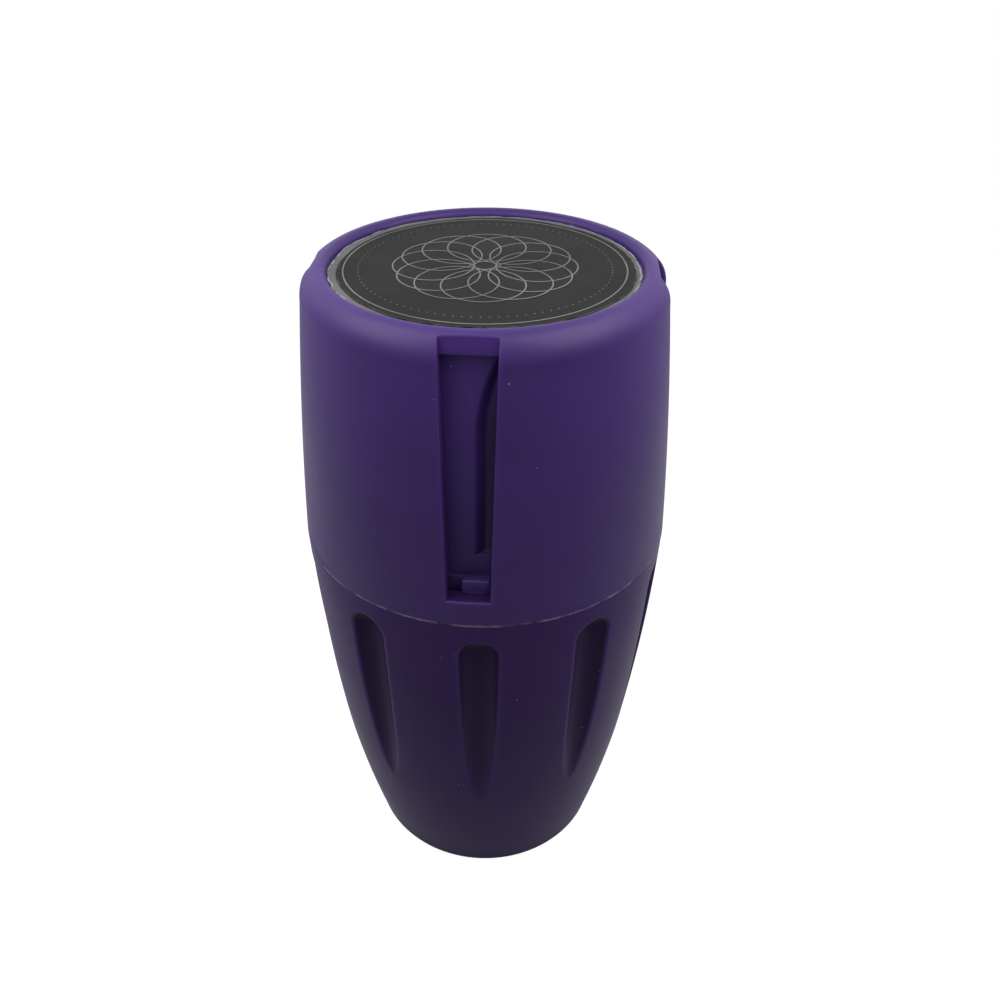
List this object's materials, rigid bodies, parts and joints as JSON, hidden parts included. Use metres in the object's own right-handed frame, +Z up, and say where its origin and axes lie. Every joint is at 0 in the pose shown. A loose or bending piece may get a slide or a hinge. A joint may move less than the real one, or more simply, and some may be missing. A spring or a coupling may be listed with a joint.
{
  "type": "hand herb grinder",
  "caption": "Hand herb grinder: a round windowed cap turns on a toothed deck over a tapered, fluted storage cup, in purple moulded plastic.",
  "frame": {"origin": "middle of the cup's flat base", "axes": "+Z up along the turning axis; -Y is the front, the middle of the cup's first flute"},
  "size_m": [0.0606, 0.0606, 0.1128],
  "materials": {
    "cap_plastic": "moulded, fine satin grain",
    "drum_plastic": "moulded, fine satin grain",
    "cup_plastic": "moulded, fine satin grain",
    "mill_plastic": "moulded, satin",
    "steel": "drawn pins",
    "magnet": "nickel plated",
    "rubber": "moulded cord ring",
    "slip_plastic": "slippery white plastic",
    "label_sheet": "pale grey sticker backing",
    "label_print": "black print, satin"
  },
  "bodies": {
    "cup": {"storage_cup": "cup_plastic"},
    "deck": {"mill_deck": "mill_plastic", "deck_teeth": "steel", "pivot_pin": "steel", "deck_magnet": "magnet", "deck_seal": "rubber"},
    "glide": {"glide_ring": "slip_plastic"},
    "cap": {"cap_shell": "cap_plastic", "mill_drum": "drum_plastic", "rotor_plate": "mill_plastic", "rotor_teeth": "steel", "rotor_magnet": "magnet", "pivot_bush": "slip_plastic", "rotor_screws": "steel", "label_backing": "label_sheet", "label_face": "label_print"}
  },
  "joints": [
    {"name": "deck_lift", "type": "slide", "parent": "cup", "child": "deck", "axis": [0, 0, 1], "range_m": [0, 0.04]},
    {"name": "cap_spin", "type": "hinge", "parent": "deck", "child": "glide", "pos_m": [0, 0, 0.0677], "axis": [0, 0, 1], "continuous": true},
    {"name": "cap_lift", "type": "slide", "parent": "glide", "child": "cap", "axis": [0, 0, 1], "range_m": [0, 0.05]}
  ]
}
